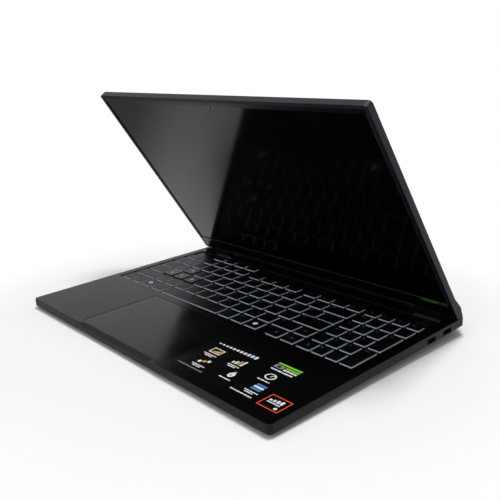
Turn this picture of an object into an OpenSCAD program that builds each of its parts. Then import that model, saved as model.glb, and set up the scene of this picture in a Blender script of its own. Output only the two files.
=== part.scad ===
// Sixteen inch laptop computer with a number pad, hinged lid and a raised exhaust behind the hinges.
// Millimetres. Everything is drawn in the frame of the deck: X to the user's right, Y to the rear
// from the front edge, Z up from the deck. on_desk() then stands the whole on its feet.

/* [Base] */
// Width of the base and of the lid
body_w = 354; // [346:1:364]
// Depth of the base, front edge to exhaust
body_d = 269; // [266:1:278]
// Radius of the two front corners
corner_r = 4; // [4:0.5:8]
// Bevel along the edge of the deck
edge_bevel = 0.5; // [0.4:0.1:1]
// Thickness of the deck
deck_t = 1.5; // [1.3:0.1:1.6]
// Thickness of the side walls
wall_t = 1.6; // [1.4:0.1:2]
// Height of the side walls below the deck
side_h = 7.6; // [7.4:0.1:8.2]
// How far the bottom cover reaches below the side walls
pan_h = 2.2; // [2:0.1:2.6]
// Thickness of the bottom cover
pan_t = 1.3; // [1.1:0.1:1.4]
// How far the bottom cover draws in at its edge
pan_bevel = 3; // [2:0.5:3.5]
// Depth of the raised field of the bottom cover, under the fans
field_h = 2.7; // [2.5:0.1:3]

/* [Stand] */
// Height of the deck's front edge above the desk
front_h = 11.1; // [11:0.1:12]
// Tilt of the deck that the tall rear foot gives
desk_tilt = 1.6; // [1.4:0.1:2]
// Depth of each rubber foot, front to back
foot_d = 9; // [7:0.5:11]

/* [Exhaust] */
// Height of the exhaust hump above the deck
hump_h = 7; // [6.5:0.1:7.2]
// Distance of the hump's foot behind the hinge axis
hump_gap = 3; // [2.9:0.1:3.4]
// How far the hump's front face leans back
hump_lean = 3.2; // [3.1:0.1:4]
// How far the hump's ends lean in
hump_end = 6; // [4:0.5:8]
// Wall of the hump
hump_t = 1.4; // [1.2:0.1:1.6]
// Cut of the two rear corners along the width
cut_x = 21; // [16:1:24]
// Cut of the two rear corners along the depth
cut_y = 21; // [16:1:23]
// Distance from one grille slot to the next
grille_pitch = 7; // [6:0.5:9]
// Width of a grille bar
grille_bar = 1.8; // [1.4:0.1:2.4]

/* [Lid] */
// Thickness of the lid
lid_t = 6.8; // [6.2:0.1:7]
// How far the lid reaches beyond the sides and the front edge of the base
lid_over = 0.4; // [0.2:0.1:0.6]
// Gap between the closed lid and the deck
lid_gap = 0.5; // [0.5:0.1:0.8]
// Angle at which the lid stands open at rest
lid_open = 56.2; // [45:1:75]
// Radius of the lid's far corners
lid_r = 3.5; // [3:0.5:8]
// Skin of the lid cover
cover_t = 1.3; // [1.1:0.1:1.4]
// Rim of the lid cover round the display
rim_w = 3; // [2.6:0.1:3.2]
// Width of the frame beside the display's picture
side_bezel = 4.65; // [4.4:0.05:6]
// Height of the frame above the display's picture
top_bezel = 7.4; // [7.2:0.1:10]
// Thickness of the display panel
panel_t = 2.8; // [2.4:0.1:2.9]
// Height of the chin from the hinge axis to the picture
chin_h = 18.5; // [18:0.5:20]

/* [Hinges] */
// Distance of the hinge axis from the rear of the base
exhaust_d = 27.7; // [27.5:0.1:28.5]
// Height of the hinge axis above the deck
hinge_z = 4.5; // [4.5:0.1:4.7]
// Middle of each hinge from the side of the lid
hinge_side = 38; // [35:1:47]
// Length of the notch in the lid at each hinge
notch_w = 44; // [40:1:46]
// Radius of the hinge knuckles
knuckle_r = 1.8; // [1.7:0.05:1.85]
// Radius of the hinge pins
pin_r = 1; // [0.8:0.05:1.1]
// Running clearance of a pin or shaft in its bore
run_fit = 0.05; // [0.03:0.01:0.08]

/* [Keyboard] */
// Distance of the keys from the left side of the base
key_side = 10.5; // [10.3:0.1:11]
// Gap between neighbouring caps
key_gap = 2.5; // [2.3:0.1:3]
// Height of a cap
cap_h = 2.1; // [2:0.1:2.2]
// Draft of a cap's walls
cap_draft = 0.5; // [0.3:0.1:0.6]
// Corner radius of a cap
cap_r = 1.3; // [1:0.1:1.6]
// Depth of the cap tops below the deck
cap_low = 0.1; // [0.1:0.05:0.2]
// Travel of a key
key_travel = 1.7; // [1.4:0.1:1.7]
// Depth of the key frame below the deck
well_h = 1.1; // [1:0.05:1.2]
// Thickness of the key frame
frame_t = 0.8; // [0.7:0.05:0.9]
// Clearance between a cap and its hole
cap_fit = 0.45; // [0.42:0.01:0.5]
// Front edge of the rearmost keys, in front of the hinge axis
key_rear = 28.3; // [27.5:0.1:29]

/* [Touchpad] */
// Width of the touchpad
pad_w = 129; // [120:1:132]
// Gap between the touchpad and the front row of keys
pad_gap = 12.1; // [11:0.1:16]
// Middle of the touchpad, to the right of the laptop's middle
pad_x = -19.5; // [-22:0.5:-10]
// Front edge of the touchpad from the front edge of the base
pad_y = 5.5; // [5:0.1:7]
// Groove round the touchpad
pad_fit = 0.4; // [0.35:0.05:0.5]
// Travel of the touchpad's front edge when it clicks
pad_click = 0.35; // [0.2:0.05:0.4]

/* [Cooling] */
// Radius of a fan rotor
fan_r = 30; // [27:0.5:31]
// Middle of each fan from the side of the base
fan_side = 66; // [65:0.5:69]
// Middle of each fan in front of the hinge axis
fan_rear = 49.3; // [48.5:0.1:51]
// Number of blades of a rotor
blades = 29; // [21:2:33]
// Distance from one cooling fin to the next
fin_pitch = 3.4; // [2.8:0.1:4]

/* [Sockets] */
// Width of a USB-A opening
usb_a_w = 12.6; // [12.4:0.1:13]
// Height of a USB-A opening
usb_a_h = 4.6; // [4.4:0.1:4.7]
// Radius of the audio jack's bore
jack_r = 1.75; // [1.7:0.01:1.8]
// Radius of the power socket's bore
power_r = 2.3; // [2.2:0.05:2.4]
// Depth of the sockets' openings
plug_depth = 12; // [11:0.5:13]

/* [Hidden] */
$fn = 48;
eps = 0.01;
seat = 0.2;

// Places that follow from the outside of the base
hinge_x = body_w / 2 - hinge_side;
hinge_y = body_d - exhaust_d;
fan_x = body_w / 2 - fan_side;
fan_y = hinge_y - fan_rear;
display_w = body_w - 2 * side_bezel;
display_h = hinge_y - chin_h - top_bezel;

// Keyboard grid: eighteen pitches fill the width between equal margins, six rows end before the hinges
key_pitch = (body_w - 2 * key_side) / 18;
cap = key_pitch - key_gap;
fn_d = 11;
fn_gap = 5.4;
hot_d = 9.5;
hot_y = hinge_y - key_rear;
fn_y = hot_y - fn_gap - fn_d;
key_x = -body_w / 2 + key_side;
key_y = fn_y - 5 * key_pitch;
rows = [for (i = [0:4]) key_y + i * key_pitch];
key_end = key_x + 14.373 * key_pitch;
pad_cap = 0.697 * key_pitch;
pad_pitch = pad_cap + 2.35;
pad_left = key_end + 5.8;
pad_end = pad_left + 3 * pad_pitch + pad_cap;
pad_d = key_y - pad_gap - pad_y;

// Stand on the desk: the front edge of the deck at front_h, the footprint centred on the origin
base_y = -(body_d * cos(desk_tilt) + (side_h + edge_bevel) * sin(desk_tilt)) / 2;

// Levels below the deck
pan_z = -side_h - pan_h;
floor_z = pan_z + pan_t;
field_z = pan_z - field_h;
field_floor = field_z + pan_t;
cap_top = -cap_low;
cap_z = cap_top - cap_h;
cap_roof = 0.9;
plate_z = cap_z - key_travel - 0.4;
plate_t = 0.5;
board_t = 1;
board_top = plate_z - plate_t - 0.3;
board_z = board_top - board_t;

// Raised field of the bottom cover
field_w = body_w - 20;
field_y = key_y - 3.1;
field_end = body_d - 3.2;
field_slope = 5;

// Feet
foot_x = body_w / 2 - 27;
foot_w = 55;
foot_y = 14;
foot_r = 2;

// Rear parts
hump_y = hinge_y + hump_gap;
hump_edge = 1.5;
duct_x0 = 24;
duct_x1 = body_w / 2 - cut_x - 3;
duct_y0 = hump_y + 3;
fin_y0 = hump_y + 4.7;
fin_y1 = body_d - wall_t - 2.4;

// Small parts of the deck
scoop_d = 4;
scoop_h = 3.9;
scoop_end = 9;
scoop_lean = 60;
pad_r = 3.6;
pad_low = 0.25;
pad_t = 1.8;
pad_tray = pad_low + pad_t + pad_click + 0.3;
bracket_w = 7;
bracket_t = 0.6;
cap_wall = 1.2;
film_t = 0.15;
dome_h = 1.2;
frame_lip = 1.2;
speaker_x1 = body_w / 2 - 11;
speaker_x0 = speaker_x1 - 20;
speaker_y0 = 26;
speaker_y1 = pad_y + pad_d - 16;
rib_x = 50;
rib_t = 1.2;
slot_w = 2.4;
slot_pitch = 5;
slot_row = 13;

// Cooling and mainboard levels
chip_h = 0.4;
spread_t = 0.8;
pipe_t = 1.5;
pipe_w = 6;
pipe_z = board_z - chip_h - spread_t - pipe_t;
row_1 = fin_y0 + 3.2;
row_2 = row_1 + pipe_w + 0.5;
fan_half = fan_r + 8;
fan_h = 5.8;
fan_z = board_top - fan_h;
fan_eye = fan_r - 8;
hub_r = 11;
shaft_r = 1.5;
board_x = body_w / 2 - wall_t - 3.4;
board_l = hinge_y - 7.3;
board_side_l = hinge_y - 17.3;
chip_x = 27;
chip_half = 13;
spread_x = chip_x + chip_half + 4;
coil_x = 51;
coil_w = 10;
coil_h = 1.6;
socket_side = 9.2;
battery_x = speaker_x0 - 6;
battery_y0 = 18;
battery_y1 = pad_y + pad_d - 4;
cell_gap = 1.5;
cell_w = battery_x / 2 - 2;
cell_h = 3;
drive_x = -60;
drive_y = key_y + 4;
drive_l = 80;
drive_w = 22;
memory_x = 34;
memory_y = key_y + 36;
memory_w = 30;
card_x = 40;
card_y = key_y + 4;
card_w = 22;
card_l = 30;

// Sockets: shells reach from the side wall inwards
shell_x = body_w / 2 - wall_t - 0.1;
shell_t = 0.3;
left_l = 7.9;
right_l = 10.2;

// Lid, seen closed: Y and Z run from the hinge axis
lid_in = lid_gap - hinge_z;
lid_out = lid_in + lid_t;
lid_len = hinge_y;
lid_half = body_w / 2 + lid_over;
lid_far = lid_len + lid_over;
panel_z = lid_in + 0.6;
pocket_w = body_w - 2 * rim_w;
notch_y = -3.6;
nose_l = 2.4;
chin_t = 1.2;
notch_x0 = hinge_x - notch_w / 2;
notch_x1 = hinge_x + notch_w / 2;
split_x = notch_x0 + 14.4;
arm_z = lid_in + panel_t + 0.8;
arm_t = 1.1;
arm_l = 46;
barrel_r = hump_h - hinge_z;
web_x0 = split_x + 4;
web_x1 = notch_x1 - 3;
web_t = 2;
lid_bevel = 0.4;
rim_r = max(lid_r - rim_w, 0.5);
picture_top = -chin_h - display_h;
panel_w = display_w + 1.2;
panel_edge = 1.2;
panel_low = 2.5;
gasket_w = 0.7;
lens_r = 1;
camera_w = 56;
antenna_w = 60;
antenna_x = body_w / 2 - 47;
camera_y = (picture_top - panel_edge - lid_len + rim_w) / 2;

// Caps of each group of keys as [left edge, front edge, width, depth]
well = [key_x - 2, key_y - 2.4, pad_end + 3, hot_y + hot_d + 2.2];

function run(x, y, count, w = cap, d = cap, pitch = key_pitch) =
    [for (i = [0:count - 1]) [x + i * pitch, y, w, d]];
function span(x0, x1, y, d = cap) = [[x0, y, x1 - x0, d]];
function along(pitches) = key_x + pitches * key_pitch;

digit_1 = along(0.784);
letter_q = along(2.119) - cap;
letter_a = along(2.351) - cap;
letter_z = along(2.859) - cap;
f_1 = along(1.768);
hot_set = run(f_1, hot_y, 4, d = hot_d);
function_set = concat(
    run(key_x, fn_y, 1, d = fn_d),
    run(f_1, fn_y, 4, d = fn_d),
    run(along(6.108), fn_y, 4, d = fn_d),
    run(key_end - 3 * key_pitch - cap, fn_y, 4, d = fn_d),
    run(pad_left, fn_y, 4, w = pad_cap, d = fn_d, pitch = pad_pitch));
number_set = concat(
    span(key_x, digit_1 - key_gap, rows[4]),
    run(digit_1, rows[4], 12),
    span(digit_1 + 12 * key_pitch, key_end, rows[4]));
upper_set = concat(
    span(key_x, letter_q - key_gap, rows[3]),
    run(letter_q, rows[3], 1),
    run(letter_q + 2 * key_pitch, rows[3], 10),
    span(letter_q + 12 * key_pitch, key_end, rows[3]));
middle_set = concat(
    span(key_x, letter_a - key_gap, rows[2]),
    run(letter_a + 3 * key_pitch, rows[2], 8));
enter_set = span(letter_a + 11 * key_pitch, key_end, rows[2], key_pitch - 0.8);
lower_set = concat(
    span(key_x, letter_z - key_gap, rows[1]),
    run(letter_z, rows[1], 10),
    span(letter_z + 10 * key_pitch + 0.5, key_end - cap - 1.9, rows[1]));
game_set = concat(
    run(letter_q + key_pitch, rows[3], 1),
    run(letter_a, rows[2], 3));
modifier_set = concat(
    run(key_x, rows[0], 1),
    span(along(1.027), along(1.973) - key_gap, rows[0]),
    span(along(1.973), along(3.027) - key_gap, rows[0]),
    span(along(3.027), along(4.054) - key_gap, rows[0]),
    run(along(9.054), rows[0], 3));
space_set = span(along(4.054), along(9.054) - key_gap, rows[0]);
arrow_set = concat(
    run(key_end - cap, rows[1], 1),
    run(key_end - cap - key_pitch + 1, rows[0], 3, w = cap - 0.6, pitch = key_pitch + 0.3));
pad_set = concat(
    [for (j = [2:4]) each run(pad_left, rows[j], 3, w = pad_cap, pitch = pad_pitch)],
    run(pad_left, rows[1], 3, w = pad_cap, pitch = pad_pitch),
    run(pad_left + pad_pitch, rows[0], 2, w = pad_cap, pitch = pad_pitch),
    run(pad_left + 3 * pad_pitch, rows[4], 1, w = pad_cap),
    run(pad_left + 3 * pad_pitch, rows[2], 1, w = pad_cap, d = cap + key_pitch),
    run(pad_left + 3 * pad_pitch, rows[0], 1, w = pad_cap, d = cap + key_pitch));
power_set = run(pad_left + 2.9 * pad_pitch, hot_y, 1, w = pad_cap + 1.5, d = hot_d);
all_keys = concat(hot_set, function_set, number_set, upper_set, middle_set, enter_set, lower_set,
    game_set, modifier_set, space_set, arrow_set, pad_set, power_set);

// Sockets along the sides; those beside the keyboard end in front of it
right_in = shell_x - right_l;
left_in = shell_x - left_l;
usb_a_right = [hinge_y - 44, hinge_y - 19.3];
power_y = hinge_y - 8.3;
network_y = hinge_y - 25.3;
hdmi_y = hinge_y - 49.3;
usb_a_left = hinge_y - 75.3;
usb_c_left = [hinge_y - 97.3, hinge_y - 115.3];
audio_y = key_y - 19.6;
socket_z = -4.9;
usb_c_w = 9;
usb_c_h = 3.2;
hdmi_w = 15;
hdmi_h = 4.6;
network_w = 12;
network_h = 4.6;

// Screws of the bottom cover, as [x, y]
screw_x = body_w / 2 - 6.5;
screw_y = key_y - 11.1;
screws = [
    [-screw_x, 12], [-100, 9], [100, 9], [screw_x, 12],
    [-screw_x, screw_y], [pad_x - pad_w / 2 - 21, screw_y], [pad_x + pad_w / 2 + 30, screw_y],
    [screw_x, screw_y],
    [-screw_x, hinge_y - 0.8], [0, hinge_y - 3.3], [screw_x, hinge_y - 0.8]
];
screw_r = 1;
boss_r = 3;
head_r = 2.2;
head_h = 0.8;
screw_l = 4;
function floor_at(s) = s[1] > field_y && abs(s[0]) < field_w / 2 ? field_floor : floor_z;

// ---- Shared shapes -------------------------------------------------------------------------

module on_desk() {
    translate([0, base_y, front_h]) rotate([desk_tilt, 0, 0]) children();
}

// A part of the lid: drawn closed from the hinge axis, turned open to rest
module on_lid() {
    on_desk() translate([0, hinge_y, hinge_z]) rotate([-lid_open, 0, 0]) children();
}

// Outline in Y and Z, drawn along X from x0 to x1
module along_x(x0, x1) {
    translate([x0, 0, 0]) rotate([90, 0, 90]) linear_extrude(x1 - x0) children();
}

// Outline in X and Z, drawn along Y from y0 to y1
module along_y(y0, y1) {
    translate([0, y1, 0]) rotate([90, 0, 0]) linear_extrude(y1 - y0) children();
}

module block(x0, x1, y0, y1, z0, z1) {
    translate([x0, y0, z0]) cube([x1 - x0, y1 - y0, z1 - z0]);
}

module rounded_rect(w, d, r) {
    translate([r, 0]) square([w - 2 * r, d]);
    translate([0, r]) square([w, d - 2 * r]);
    for (x = [r, w - r], y = [r, d - r]) translate([x, y]) circle(r);
}

module rounded_block(x0, x1, y0, y1, z0, z1, r) {
    translate([x0, y0, z0]) linear_extrude(z1 - z0) rounded_rect(x1 - x0, y1 - y0, r);
}

// Rounded plate whose four walls draw in by c towards its top
module drafted(w, d, h, r, c) {
    along_y(r, d - r) polygon([[0, 0], [w, 0], [w - c, h], [c, h]]);
    along_x(r, w - r) polygon([[0, 0], [d, 0], [d - c, h], [c, h]]);
    for (x = [r, w - r], y = [r, d - r]) translate([x, y, 0]) cylinder(h = h, r1 = r, r2 = r - c);
}

module mirrored(side) {
    if (side < 0) mirror([1, 0, 0]) children();
    else children();
}

// What the cut rear corners take away, for an outline that lies inset from the outside
module rear_cuts(inset) {
    for (side = [-1, 1]) mirrored(side)
        translate([body_w / 2, body_d - cut_y, -30]) rotate(atan2(cut_x, cut_y))
            translate([-inset, -40, 0]) cube([40, 80, 60]);
}

// ---- Base, outside -------------------------------------------------------------------------

// Block with the outline of the base, drawn in by inset
module base_block(inset, z0, z1) {
    difference() {
        rounded_block(-body_w / 2 + inset, body_w / 2 - inset, inset, body_d - inset, z0, z1,
            max(corner_r - inset, 1));
        rear_cuts(inset);
    }
}

module deck_edge() {
    difference() {
        union() {
            translate([-body_w / 2, 0, -edge_bevel])
                drafted(body_w, body_d, edge_bevel, corner_r, edge_bevel);
            block(-body_w / 2, body_w / 2, hump_y, body_d, -edge_bevel, 0);
        }
        rear_cuts(0);
    }
}

// Slots of the exhaust grille on one side, through the rear wall between two heights
module grille(z0, z1) {
    for (side = [-1, 1]) mirrored(side)
        for (x = [duct_x0:grille_pitch:duct_x1 - grille_pitch])
            block(x, x + grille_pitch - grille_bar, body_d - 4, body_d + 1, z0, z1);
}

module side_opening(side, y, w, h) {
    mirrored(side)
        block(body_w / 2 - wall_t - 1, body_w / 2 + 1, y - w / 2, y + w / 2,
            socket_z - h / 2, socket_z + h / 2);
}

module side_bore(side, y, r) {
    mirrored(side)
        translate([body_w / 2 - wall_t - 1, y, socket_z]) rotate([0, 90, 0]) cylinder(h = 4, r = r);
}

module socket_openings() {
    for (y = usb_a_right) side_opening(1, y, usb_a_w, usb_a_h);
    side_opening(-1, usb_a_left, usb_a_w, usb_a_h);
    side_opening(-1, network_y, network_w, network_h);
    side_opening(-1, hdmi_y, hdmi_w, hdmi_h);
    for (y = usb_c_left) usb_c_slot(y, 4);
    side_bore(-1, audio_y, jack_r + 0.1);
    side_bore(-1, power_y, power_r + 0.1);
}

// Slot with round ends for a USB-C plug, cut depth deep from the outside
module usb_c_slot(y, depth) {
    translate([-body_w / 2 - 1, y - usb_c_w / 2 + usb_c_h / 2, socket_z]) rotate([0, 90, 0])
        linear_extrude(depth) {
            circle(d = usb_c_h);
            translate([-usb_c_h / 2, 0]) square([usb_c_h, usb_c_w - usb_c_h]);
            translate([0, usb_c_w - usb_c_h]) circle(d = usb_c_h);
        }
}

// Hollow in the front edge for the finger that lifts the lid: a slope that runs out to a point
// at either end
module finger_scoop() {
    intersection() {
        along_x(pad_x - pad_w / 2, pad_x + pad_w / 2)
            polygon([[-1, 1], [scoop_d, 1], [scoop_d, 0], [-1, -scoop_h]]);
        scoop_side(-1);
        scoop_side(1);
    }
}

// Everything on the near side of the slanted plane that ends the hollow
module scoop_side(side) {
    translate([pad_x, 0, 0]) mirrored(side) translate([pad_w / 2, 0, 0])
        rotate([0, scoop_lean, atan2(scoop_end, scoop_d)]) translate([-body_w, -body_w, -body_w])
            cube([body_w, 2 * body_w, 2 * body_w]);
}

module bosses() {
    for (s = screws) translate([s[0], s[1], floor_at(s)])
        cylinder(h = -deck_t - floor_at(s) + eps, r = boss_r);
}

module deck_ribs() {
    for (side = [-1, 1]) mirrored(side)
        for (x = [pad_w / 2 + rib_x, pad_w / 2 + rib_x + 20])
            block(x, x + rib_t, speaker_y0, battery_y1 - 8, -deck_t - 1, -deck_t + eps);
    block(pad_x - pad_w / 2 - 4, pad_x + pad_w / 2 + 4, wall_t - eps, scoop_d + 0.6,
        -deck_t - 1.3, -deck_t + eps);
}

module top_case() {
    color("#303134") on_desk() difference() {
        union() {
            difference() {
                union() {
                    base_block(0, -side_h, -edge_bevel);
                    deck_edge();
                }
                base_block(wall_t, -side_h - 1, -deck_t);
            }
            bosses();
            deck_ribs();
        }
        block(well[0], well[2], well[1], well[3], -deck_t - 1, 1);
        rounded_block(pad_x - pad_w / 2 - pad_fit, pad_x + pad_w / 2 + pad_fit,
            pad_y - pad_fit, pad_y + pad_d + pad_fit, -deck_t - 3, 1, pad_r + pad_fit);
        for (side = [-1, 1]) mirrored(side) {
            block(web_x0 - 0.3, web_x1 + 0.3, hinge_y - web_t / 2 - 0.2, hinge_y + web_t / 2 + 0.2,
                -deck_t - 1, 1);
            block(duct_x0, duct_x1, duct_y0, body_d - wall_t - 1.4, -deck_t - 1, 1);
        }
        grille(-side_h + 1.4, -deck_t);
        socket_openings();
        finger_scoop();
        for (s = screws) translate([s[0], s[1], floor_at(s) - 1])
            cylinder(h = screw_l + 1.2, r = screw_r + run_fit);
    }
}

// Outline of the raised field along the depth, drawn in by inset
module field_side(inset, z) {
    polygon([
        [field_y + inset, pan_z + inset * 2], [field_y + field_slope + inset, z],
        [field_end - field_slope - inset, z], [field_end - inset, pan_z + inset * 2]
    ]);
}

module field_block(inset, z) {
    half = field_w / 2 - inset;
    intersection() {
        along_x(-half, half) field_side(inset, z);
        along_y(field_y, field_end)
            polygon([[-half, pan_z + inset * 2], [-half + field_slope, z],
                [half - field_slope, z], [half, pan_z + inset * 2]]);
    }
}

module bottom_cover() {
    color("#232427") on_desk() difference() {
        union() {
            mirror([0, 0, 1]) translate([-body_w / 2, 0, side_h])
                drafted(body_w, body_d, pan_h, corner_r, pan_bevel);
            field_block(0, field_z);
        }
        rear_cuts(0);
        base_block(pan_bevel + 0.2, floor_z, 0);
        difference() {
            field_block(pan_t, field_floor);
            rear_cuts(pan_t);
        }
        air_slots();
        speaker_slots();
        for (s = screws) translate([s[0], s[1], floor_at(s) - pan_t - 1]) {
            cylinder(h = 5, r = screw_r + 0.2);
            cylinder(h = 1 + head_h + 0.1, r = head_r + 0.2);
        }
    }
}

// Intake slots of the bottom cover below the two fans
module air_slots() {
    for (side = [-1, 1], i = [-5:5], j = [-2:1])
        block(side * fan_x + i * slot_pitch - slot_w / 2, side * fan_x + i * slot_pitch + slot_w / 2,
            fan_y + j * slot_row + 1, fan_y + (j + 1) * slot_row - 1, field_z - 1, field_floor + 1);
}

module speaker_slots() {
    for (side = [-1, 1]) mirrored(side)
        for (j = [0:6])
            block(speaker_x0 + 4, speaker_x1 - 4, speaker_y0 + 6 + j * 5, speaker_y0 + 8 + j * 5,
                pan_z - 1, floor_z + 1);
}

// Profile of the hump from its foot to the rear, drawn in by inset
module hump_side(inset, z0) {
    polygon([
        [hump_y + inset, z0], [hump_y + hump_lean + inset, hump_h - inset],
        [body_d - hump_edge - inset, hump_h - inset], [body_d - inset, hump_h - hump_edge - inset],
        [body_d - inset, z0]
    ]);
}

module hump_block(inset, z0) {
    half = body_w / 2 - inset;
    difference() {
        intersection() {
            along_x(-half, half) hump_side(inset, z0);
            along_y(hump_y, body_d)
                polygon([[-half, z0], [-half + hump_end, hump_h], [half - hump_end, hump_h], [half, z0]]);
        }
        rear_cuts(inset);
    }
}

module exhaust_hump() {
    color("#2a2b2e") on_desk() difference() {
        hump_block(0, 0);
        hump_block(hump_t, -1);
        grille(0.8, hump_h - 2.2);
    }
}

// Everything below the desk, seen from the deck's frame
module below_desk() {
    rotate([-desk_tilt, 0, 0]) translate([-body_w, -body_d, -front_h - 30])
        cube([2 * body_w, 3 * body_d, 30]);
}

module foot(x0, x1, y, z_top) {
    rounded_block(x0, x1, y, y + foot_d, -front_h - 12, z_top, foot_r);
}

module front_feet() {
    color("#1c1c1e") on_desk() difference() {
        for (side = [-1, 1]) mirrored(side) foot(foot_x - foot_w, foot_x, foot_y, pan_z);
        below_desk();
    }
}

module rear_foot() {
    color("#1c1c1e") on_desk() difference() {
        foot(-foot_x, foot_x, field_end - field_slope - foot_d - 1, field_z);
        below_desk();
    }
}

module bottom_screws() {
    color("#4a4b4e") on_desk() for (s = screws) translate([s[0], s[1], floor_at(s) - pan_t]) {
        difference() {
            cylinder(h = head_h, r = head_r);
            translate([-0.4, -1.4, -1]) cube([0.8, 2.8, 1.4]);
            translate([-1.4, -0.4, -1]) cube([2.8, 0.8, 1.4]);
        }
        translate([0, 0, head_h - eps]) cylinder(h = pan_t - head_h + screw_l, r = screw_r);
    }
}

// ---- Keyboard ------------------------------------------------------------------------------

module key_cap(k) {
    translate([k[0], k[1], cap_z]) difference() {
        drafted(k[2], k[3], cap_h, cap_r, cap_draft);
        translate([cap_wall, cap_wall, -1])
            cube([k[2] - 2 * cap_wall, k[3] - 2 * cap_wall, cap_h - cap_roof + 1]);
    }
}

module caps(set, shade = "#1d1e21") {
    color(shade) on_desk() for (k = set) key_cap(k);
}

module key_frame() {
    color("#17181a") on_desk() difference() {
        union() {
            block(well[0] + 0.1, well[2] - 0.1, well[1] + 0.1, well[3] - 0.1,
                -well_h - frame_t, -well_h);
            block(well[0] - frame_lip, well[2] + frame_lip, well[1] - 3, well[3] + 3,
                -deck_t - 0.6, -deck_t);
            for (i = [1:5])
                block(key_x, letter_a + 11 * key_pitch - key_gap,
                    rows[0] + i * key_pitch - (key_gap + rib_t) / 2,
                    rows[0] + i * key_pitch - (key_gap - rib_t) / 2, plate_z + film_t, -well_h - eps);
        }
        for (k = all_keys)
            block(k[0] - cap_fit, k[0] + k[2] + cap_fit, k[1] - cap_fit, k[1] + k[3] + cap_fit,
                -well_h - frame_t - 1, 1);
    }
}

// Outline of the keyboard plate, notched at the left rear for the network socket
module plate_outline() {
    difference() {
        translate([key_x - 0.6, key_y - 2])
            square([pad_end - key_x + 1.2, hot_y + hot_d - key_y + 3]);
        translate([key_x - 5, fn_y + fn_d + 0.8]) square([f_1 - key_x - 4, 30]);
    }
}

module keyboard_plate() {
    color("#9a9da2") on_desk() translate([0, 0, plate_z - plate_t])
        linear_extrude(plate_t) plate_outline();
}

module dome_sheet() {
    color("#7c8086") on_desk() {
        translate([0, 0, plate_z]) linear_extrude(film_t) plate_outline();
        for (k = all_keys) translate([k[0] + k[2] / 2, k[1] + k[3] / 2, plate_z + film_t - eps])
            cylinder(h = dome_h, r1 = 2.6, r2 = 1.6);
    }
}

module hot_keys() { caps(hot_set); }
module function_keys() { caps(function_set); }
module number_keys() { caps(number_set); }
module upper_letter_keys() { caps(upper_set); }
module middle_letter_keys() { caps(middle_set); }
module lower_letter_keys() { caps(lower_set); }
module game_keys() { caps(game_set, "#77797e"); }
module modifier_keys() { caps(modifier_set); }
module space_bar() { caps(space_set); }
module enter_key() { caps(enter_set); }
module arrow_keys() { caps(arrow_set); }
module pad_keys() { caps(pad_set); }
module power_button() { caps(power_set); }

// ---- Touchpad ------------------------------------------------------------------------------

module touchpad() {
    color("#26272a") on_desk()
        rounded_block(pad_x - pad_w / 2, pad_x + pad_w / 2, pad_y, pad_y + pad_d,
            -pad_low - pad_t, -pad_low, pad_r);
}

module touchpad_bracket() {
    x0 = pad_x - pad_w / 2 - bracket_w;
    x1 = pad_x + pad_w / 2 + bracket_w;
    color("#8d9095") on_desk() difference() {
        block(x0, x1, wall_t + 6, pad_y + pad_d + 4.5, -pad_tray - bracket_t, -deck_t);
        block(x0 + 4, x1 - 4, 0, pad_y + pad_d + 1.5, -pad_tray, 0);
    }
}

// ---- Base, inside --------------------------------------------------------------------------

module mainboard() {
    color("#1f4d35") on_desk() {
        difference() {
            translate([0, 0, board_z]) linear_extrude(board_t) {
                translate([-board_x, well[1] - 1]) square([2 * board_x, fan_y - fan_half - well[1]]);
                translate([-fan_x + fan_half + 1, well[1] - 1])
                    square([2 * (fan_x - fan_half - 1), board_l - well[1]]);
                for (side = [-1, 1]) translate([side > 0 ? fan_x + fan_half + 1 : -board_x, well[1] - 1])
                    square([board_x - fan_x - fan_half - 1, board_side_l - well[1]]);
            }
            for (y = usb_a_right) socket_room(1, y, right_in);
            for (y = concat(hdmi_y, usb_a_left, usb_c_left)) socket_room(-1, y, left_in);
            socket_room(-1, network_y, shell_x - plug_depth);
        }
        for (x = [-chip_x, chip_x])
            block(x - chip_half, x + chip_half, fan_y - chip_half + 1, fan_y + chip_half - 1,
                board_z - chip_h, board_z + eps);
        for (x = [-coil_x - coil_w, coil_x])
            block(x, x + coil_w, fan_y - 10, fan_y + 8, board_z - coil_h, board_z + eps);
    }
}

// Room in the mainboard for a socket that is set into its edge
module socket_room(side, y, x_in) {
    mirrored(side)
        block(x_in - 1, body_w, y - socket_side, y + socket_side, board_z - 1, board_top + 1);
}

module cold_plate() {
    color("#b87333") on_desk()
        block(-spread_x, spread_x, fan_y - chip_half - 1, fan_y + chip_half + 1,
            board_z - chip_h - spread_t, board_z - chip_h);
}

// Flat pipe of width w through the points of a path
module pipe_path(path, w) {
    for (i = [0:len(path) - 2]) {
        a = path[i];
        b = path[i + 1];
        translate(a) rotate(atan2(b[1] - a[1], b[0] - a[0]))
            translate([0, -w / 2]) square([norm(b - a), w]);
    }
    for (p = path) translate(p) circle(d = w);
}

module heat_pipes() {
    bend = row_1 - 21;
    start = fan_y - 8;
    color("#b87333") on_desk() for (side = [-1, 1]) mirrored(side) translate([0, 0, pipe_z])
        linear_extrude(pipe_t) {
            pipe_path([[25, start], [25, bend], [46, row_1], [duct_x1 - 6, row_1]], pipe_w);
            pipe_path([[16, start], [16, bend + 4], [16 + row_2 - bend - 4, row_2], [duct_x1 - 6, row_2]],
                pipe_w);
        }
}

module fin_stacks() {
    color("#a9acb1") on_desk() for (side = [-1, 1]) mirrored(side) {
        z1 = hump_h - hump_t - 0.3;
        z0 = pipe_z + pipe_t;
        block(duct_x0 + 1, duct_x1 - 1, fin_y0, fin_y1, z0, z0 + 0.5);
        block(duct_x0 + 1, duct_x1 - 1, fin_y0, fin_y1, z1 - 0.5, z1);
        for (x = [duct_x0 + 1:fin_pitch:duct_x1 - 2]) block(x, x + 0.6, fin_y0, fin_y1, z0, z1);
    }
}

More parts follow.
